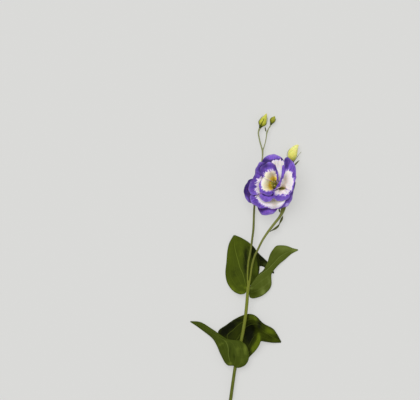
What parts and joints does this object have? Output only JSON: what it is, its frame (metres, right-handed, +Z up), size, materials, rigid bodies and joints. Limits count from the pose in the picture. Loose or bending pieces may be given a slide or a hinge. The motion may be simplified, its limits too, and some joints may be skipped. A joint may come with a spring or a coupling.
{
  "type": "lisianthus flower",
  "caption": "Cut lisianthus stem lying on its side: an open double bloom, white with ragged violet margins, closed yellow-green buds and clasping green leaves.",
  "frame": {"origin": "middle of the lying stem's box, on the surface that it lies on", "axes": "+Y along the stem from its cut end to the upper buds, +Z up out of the open bloom"},
  "size_m": [0.1402, 0.3945, 0.0455],
  "materials": {
    "stem": "smooth waxy green stem, paler on the branches",
    "leaf": "fleshy leaf with a waxy bloom and a pale midrib",
    "calyx": "smooth green sepal",
    "petal": "soft satin petal, cream white with a ragged violet margin",
    "anther": "dusty golden anther on a pale filament",
    "pistil": "smooth yellow-green",
    "bud": "satin pale yellow-green closed petals"
  },
  "bodies": {
    "root": {"stem": "stem", "upper_left_leaf": "leaf", "upper_right_leaf": "leaf", "upper_back_leaf": "leaf", "lower_front_leaf": "leaf", "lower_back_leaf": "leaf", "long_bract": "leaf", "short_bract": "leaf", "bud_bract": "leaf", "fork_bract": "leaf", "bloom_calyx": "calyx", "guard_petal_front": "petal", "guard_petal_right": "petal", "guard_petal_back": "petal", "guard_petal_left": "petal", "side_petal": "petal", "arch_petal": "petal", "crescent_petal": "petal", "left_petal": "petal", "trough_petal": "petal", "lower_lip_petal": "petal", "throat_petal_lower": "petal", "throat_petal_upper": "petal", "right_petal": "petal", "front_petal": "petal", "stamen_1": "anther", "stamen_2": "anther", "stamen_3": "anther", "stamen_4": "anther", "stamen_5": "anther", "pistil": "pistil", "large_bud": "bud", "medium_bud": "bud", "small_bud": "bud", "large_bud_calyx": "calyx", "medium_bud_calyx": "calyx", "small_bud_calyx": "calyx"}
  },
  "joints": []
}
